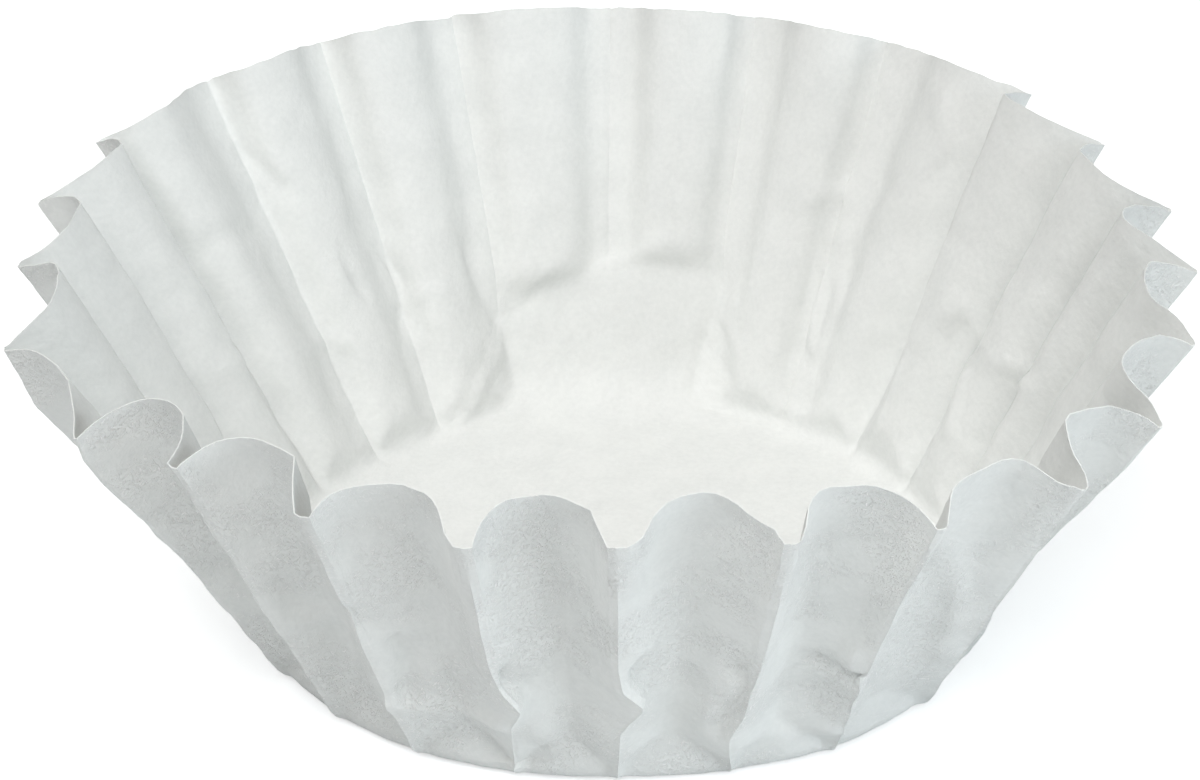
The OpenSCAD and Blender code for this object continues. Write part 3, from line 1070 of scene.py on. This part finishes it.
    def _flat_mesh(self, flat: np.ndarray, points: np.ndarray,
                   faces: list[tuple[int, ...]]) -> bpy.types.Mesh:
        """Makes the flat disc, with what the press needs to know written on its points.

        Args:
            flat: Flat X and Y of each point, in millimetres.
            points: Where each point goes, in millimetres.
            faces: The faces.

        Returns:
            The disc as a mesh, with a bearing, a lean, a run and a push on each point.
        """
        mesh = bpy.data.meshes.new("filter_sheet")
        disc = np.concatenate([flat, np.zeros((len(flat), 1))], axis=1) * MM
        mesh.from_pydata(disc.tolist(), [], faces)
        outward = np.hypot(points[:, 0], points[:, 1]) - self.wall.base_radius
        facts = {
            "bearing": np.arctan2(points[:, 0], -points[:, 1]),
            "lean": np.arctan2(points[:, 2], outward),
            "run": np.hypot(points[:, 2], outward) * MM,
            "push": self._pushes(flat) * MM,
            "cockle": self._cockle_share(flat),
        }
        for name, values in facts.items():
            fact = mesh.attributes.new(name, "FLOAT", "POINT")
            fact.data.foreach_set("value", values.astype(np.float32))
        loops = np.empty(len(mesh.loops), dtype=np.int32)
        mesh.loops.foreach_get("vertex_index", loops)
        chart = mesh.uv_layers.new(name="flat_sheet")
        chart.uv.foreach_set("vector", (flat[loops] / CHART_SIZE + 0.5).astype(np.float32).ravel())
        mesh.update()
        return mesh

    def _pushes(self, flat: np.ndarray) -> np.ndarray:
        """Works out how far the creases and dents push each point.

        Args:
            flat: Flat X and Y of each point, in millimetres.

        Returns:
            The push outwards at each point, in millimetres.
        """
        total = np.zeros(len(flat))
        for crease in (*FRONT_CREASES, *BACK_CREASES):
            line = np.array([self._on_disc(place) for place in crease.path])
            away = self._distance(flat, line)
            total += crease.side.value * crease.height * np.exp(-(away / crease.flank) ** 2)
        for dent in DENTS:
            angle = math.radians(FLUTE_ANGLE * dent.place[0])
            away = flat - self._on_disc(dent.place)
            across = away @ (math.cos(angle), math.sin(angle)) / dent.size[0]
            upward = away @ (math.sin(angle), -math.cos(angle)) / dent.size[1]
            fall = np.exp(-self.dent_fall * (across ** 2 + upward ** 2))
            total += dent.side.value * dent.height * fall
        return total

    def _cockle_share(self, flat: np.ndarray) -> np.ndarray:
        """How much each point takes of the cockles: little on the base, most low on the wall."""
        run = np.hypot(flat[:, 0], flat[:, 1]) - self.wall.base_radius
        return np.interp(run, (-10.0, 0.0, 8.0, 30.0, 66.5), (0.25, 0.5, 1.0, 0.7, 0.45))

    def _on_disc(self, place: tuple[float, float]) -> np.ndarray:
        """Flat X and Y of a place given as a flute coordinate and a run."""
        angle = math.radians(FLUTE_ANGLE * place[0])
        return (self.wall.base_radius + place[1]) * np.array([math.sin(angle), -math.cos(angle)])

    @staticmethod
    def _distance(flat: np.ndarray, line: np.ndarray) -> np.ndarray:
        """Measures how far each point is from a line of straight stretches.

        Args:
            flat: Flat X and Y of each point.
            line: Flat X and Y of the line's places.

        Returns:
            The distance of each point from the nearest stretch.
        """
        nearest = np.full(len(flat), np.inf)
        for start, end in zip(line[:-1], line[1:]):
            stretch = end - start
            share = np.clip((flat - start) @ stretch / (stretch @ stretch), 0.0, 1.0)
            away = np.linalg.norm(flat - start - share[:, None] * stretch, axis=1)
            nearest = np.minimum(nearest, away)
        return nearest

    def _press(self, sheet: bpy.types.Object, paper: bpy.types.Material) -> None:
        """Folds the flat disc up with a Geometry Nodes tree and gives it its finish.

        Args:
            sheet: The flat disc.
            paper: The sheet's material.
        """
        tree = bpy.data.node_groups.new("press_the_sheet", "GeometryNodeTree")
        wanted = {
            "Base radius": self.wall.base_radius * MM,
            "Cockle height": self.cockle_height,
            "Cockle size": self.cockle_size,
            "Wrinkle height": self.wrinkle_height,
            "Wrinkle size": self.wrinkle_size,
            "Seed": self.seed,
            "Paper": paper,
        }
        tree.interface.new_socket("Sheet", in_out="INPUT", socket_type="NodeSocketGeometry")
        sockets = {}
        for name, value in wanted.items():
            kind = "NodeSocketMaterial" if value is paper else "NodeSocketFloat"
            sockets[name] = tree.interface.new_socket(name, in_out="INPUT", socket_type=kind)
        tree.interface.new_socket("Filter", in_out="OUTPUT", socket_type="NodeSocketGeometry")
        bench = Bench(tree)
        given = bench.node("NodeGroupInput")
        folded = self._folded(bench, given)
        roughened = self._roughened(bench, given, folded)
        real = bench.node("GeometryNodeRealizeInstances", {"Geometry": roughened})
        dressed = bench.node("GeometryNodeSetMaterial", {
            "Geometry": real.outputs[0], "Material": given.outputs["Paper"]})
        bench.node("NodeGroupOutput", {"Filter": dressed.outputs[0]})
        press = sheet.modifiers.new("press", "NODES")
        press.node_group = tree
        for name, value in wanted.items():
            press[sockets[name].identifier] = value

    @staticmethod
    def _folded(bench: Bench, given: bpy.types.Node) -> Socket:
        """Folds each radius of the disc about the base crease.

        Args:
            bench: The tree's nodes.
            given: The tree's inputs.

        Returns:
            The folded sheet.
        """
        bearing, lean, run = (bench.fact(name) for name in ("bearing", "lean", "run"))
        level = bench.maths("MULTIPLY", run, bench.maths("COSINE", lean))
        radius = bench.maths("ADD", given.outputs["Base radius"], level)
        front = bench.maths("MULTIPLY", radius, bench.maths("COSINE", bearing))
        place = bench.vector(
            bench.maths("MULTIPLY", radius, bench.maths("SINE", bearing)),
            bench.maths("MULTIPLY", front, -1.0),
            bench.maths("MULTIPLY", run, bench.maths("SINE", lean)),
        )
        position = bench.node("GeometryNodeInputPosition").outputs[0]
        flat = bench.node("GeometryNodeStoreNamedAttribute", {
            "Geometry": given.outputs["Sheet"], "Name": "disc", "Value": position},
            data_type="FLOAT_VECTOR", domain="POINT")
        return bench.moved(flat.outputs["Geometry"], "Position", place)

    @staticmethod
    def _roughened(bench: Bench, given: bpy.types.Node, folded: Socket) -> Socket:
        """Pushes the creases and dents out, and adds cockles and wrinkles.

        Args:
            bench: The tree's nodes.
            given: The tree's inputs.
            folded: The folded sheet.

        Returns:
            The sheet with its surface moved along its normals, and flat where it would sink
            into the table.
        """
        place = bench.fact("disc", "FLOAT_VECTOR")
        total = bench.fact("push")
        for name in ("Cockle", "Wrinkle"):
            scale = bench.maths("DIVIDE", 1.0, given.outputs[name + " size"])
            swell = bench.noise(place, scale, 2.0, given.outputs["Seed"])
            centred = bench.maths("SUBTRACT", swell, 0.5)
            tall = bench.maths("MULTIPLY", centred, given.outputs[name + " height"])
            taken = bench.maths("MULTIPLY", tall, bench.fact("cockle"))
            total = bench.maths("ADD", total, taken)
        normal = bench.node("GeometryNodeInputNormal").outputs[0]
        offset = bench.node("ShaderNodeVectorMath", {0: normal, "Scale": total},
                            operation="SCALE")
        moved = bench.moved(folded, "Offset", offset.outputs[0])
        position = bench.node("GeometryNodeInputPosition").outputs[0]
        height = bench.node("ShaderNodeSeparateXYZ", {0: position}).outputs["Z"]
        sunk = bench.maths("MINIMUM", height, 0.0)
        return bench.moved(moved, "Offset", bench.vector(z=bench.maths("MULTIPLY", sunk, -1.0)))

    def _bake(self, sheet: bpy.types.Object) -> None:
        """Turns the pressed sheet into a plain mesh, which keeps only what the paper reads.

        Args:
            sheet: The object with its modifiers.
        """
        seen = bpy.context.evaluated_depsgraph_get()
        baked = bpy.data.meshes.new_from_object(sheet.evaluated_get(seen), depsgraph=seen)
        sheet.modifiers.clear()
        # outer_side marks the outer skin, where the painted fibre glints show strongly.
        outer = np.zeros(len(baked.vertices), dtype=np.float32)
        outer[:len(sheet.data.vertices)] = 1.0
        sheet.data = baked
        baked.attributes.new("outer_side", "FLOAT", "POINT").data.foreach_set("value", outer)
        for name in ("bearing", "lean", "run", "push", "cockle", "disc"):
            baked.attributes.remove(baked.attributes[name])
        baked.shade_smooth()
        baked.set_sharp_from_angle(angle=math.radians(self.sharp_angle))


@dataclass(frozen=True)
class Lamp:
    """A soft square lamp that points at the filter.

    Attributes:
        name: Its name.
        bearing: Its bearing from the front, in degrees.
        height: Its height above the table, in degrees.
        power: Its power, in watts.
        colour: Its colour.
    """

    name: str
    bearing: float
    height: float
    power: float
    colour: Colour


@dataclass
class Studio:
    """The table, the lamps and the camera.

    Attributes:
        camera_distance: Distance of the camera from the origin, in metres.
        camera_height: Elevation of the camera above the table, in degrees.
        look_down: Slope of the view, in degrees.
        look_aside: Turn of the view off the axis, in degrees.
        lens: Focal length for a 36 mm sensor, in millimetres.
        world: Strength of the even light from all round.
        lamps: The lamps.
        lamp_distance: Distance of each lamp from the origin, in metres.
        lamp_size: Side of each square lamp, in metres.
        aim: Height above the table that the lamps point at, in metres.
        table_half: Half the side of the table, in metres.
        table_drop: How far the table lies under the base, in metres.
    """

    camera_distance: float = 0.5767
    camera_height: float = 32.83
    look_down: float = 29.91
    look_aside: float = -0.083
    lens: float = 111.26
    world: float = 0.04
    lamps: tuple[Lamp, ...] = (
        Lamp("front", 0.0, 56.0, 9.6, (1.0, 0.99, 0.98)),
        Lamp("right", 57.0, 12.0, 8.6, (0.87, 0.95, 1.0)),
        Lamp("left", -62.0, 60.0, 7.0, (1.0, 0.99, 0.98)),
        Lamp("back", 180.0, 50.0, 3.0, (1.0, 0.98, 0.94)),
    )
    lamp_distance: float = 1.3
    lamp_size: float = 0.9
    aim: float = 0.03
    table_half: float = 6.0
    table_drop: float = 0.00005

    def build(self, ground: bpy.types.Material) -> bpy.types.Object:
        """Sets up the studio.

        Args:
            ground: The table's material.

        Returns:
            The table.
        """
        bpy.context.scene.view_settings.view_transform = "Standard"
        self._camera()
        self._world()
        for lamp in self.lamps:
            self._lamp(lamp)
        log.info("studio: %d lamps, camera with a %.0f mm lens", len(self.lamps), self.lens)
        return self._table(ground)

    @staticmethod
    def _way(bearing: float, height: float) -> Vector:
        """Unit vector from the origin towards a bearing from the front and a height."""
        turn, rise = math.radians(bearing), math.radians(height)
        return Vector((math.sin(turn) * math.cos(rise), -math.cos(turn) * math.cos(rise),
                       math.sin(rise)))

    def _camera(self) -> None:
        """Places the camera at the photograph's angle."""
        lens = bpy.data.cameras.new("camera")
        lens.lens = self.lens
        lens.sensor_width = 36.0
        lens.clip_start = 0.01
        lens.clip_end = 50.0
        camera = bpy.data.objects.new("camera", lens)
        camera.location = self._way(0.0, self.camera_height) * self.camera_distance
        ahead = self._way(180.0 - self.look_aside, -self.look_down)
        camera.rotation_euler = ahead.to_track_quat("-Z", "Y").to_euler()
        bpy.context.collection.objects.link(camera)
        bpy.context.scene.camera = camera

    def _world(self) -> None:
        """Lights the scene evenly, and shows white to the camera."""
        world = bpy.data.worlds.new("studio")
        world.use_nodes = True
        bench = Bench(world.node_tree)
        more = bench.maths("MULTIPLY", bench.seen_directly(), 1.0 - self.world)
        glow = bench.node("ShaderNodeBackground", {
            "Color": (1.0, 1.0, 1.0, 1.0), "Strength": bench.maths("ADD", more, self.world)})
        bench.node("ShaderNodeOutputWorld", {"Surface": glow.outputs["Background"]})
        bpy.context.scene.world = world

    def _lamp(self, lamp: Lamp) -> None:
        """Hangs a lamp that the camera doesn't see.

        Args:
            lamp: What it is like.
        """
        light = bpy.data.lights.new(lamp.name, "AREA")
        light.shape = "SQUARE"
        light.size = self.lamp_size
        light.energy = lamp.power
        light.color = lamp.colour
        made = bpy.data.objects.new(lamp.name, light)
        made.location = self._way(lamp.bearing, lamp.height) * self.lamp_distance
        towards = Vector((0.0, 0.0, self.aim)) - made.location
        made.rotation_euler = towards.to_track_quat("-Z", "Y").to_euler()
        made.visible_camera = False
        bpy.context.collection.objects.link(made)

    def _table(self, ground: bpy.types.Material) -> bpy.types.Object:
        """Lays the table that the filter stands on, just under its base.

        Args:
            ground: The table's material.

        Returns:
            The table.
        """
        mesh = bpy.data.meshes.new("table")
        corners = [(x * self.table_half, y * self.table_half, -self.table_drop)
                   for x, y in ((-1, -1), (1, -1), (1, 1), (-1, 1))]
        mesh.from_pydata(corners, [], [(0, 1, 2, 3)])
        mesh.materials.append(ground)
        table = bpy.data.objects.new("table", mesh)
        bpy.context.collection.objects.link(table)
        return table


def main() -> None:
    """Builds the filter and its studio, and ties the filter to the frame."""
    logging.basicConfig(level=logging.INFO, format="%(message)s")
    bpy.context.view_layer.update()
    sheet = FilterSheet()
    piece = sheet.build(FilterPaper().material())
    log.info("filter sheet: %d faces", len(piece.data.polygons))
    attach(piece, "root")
    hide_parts("filter_paper")
    table = Studio().build(StudioWhite().material())


if __name__ == "__main__":
    main()
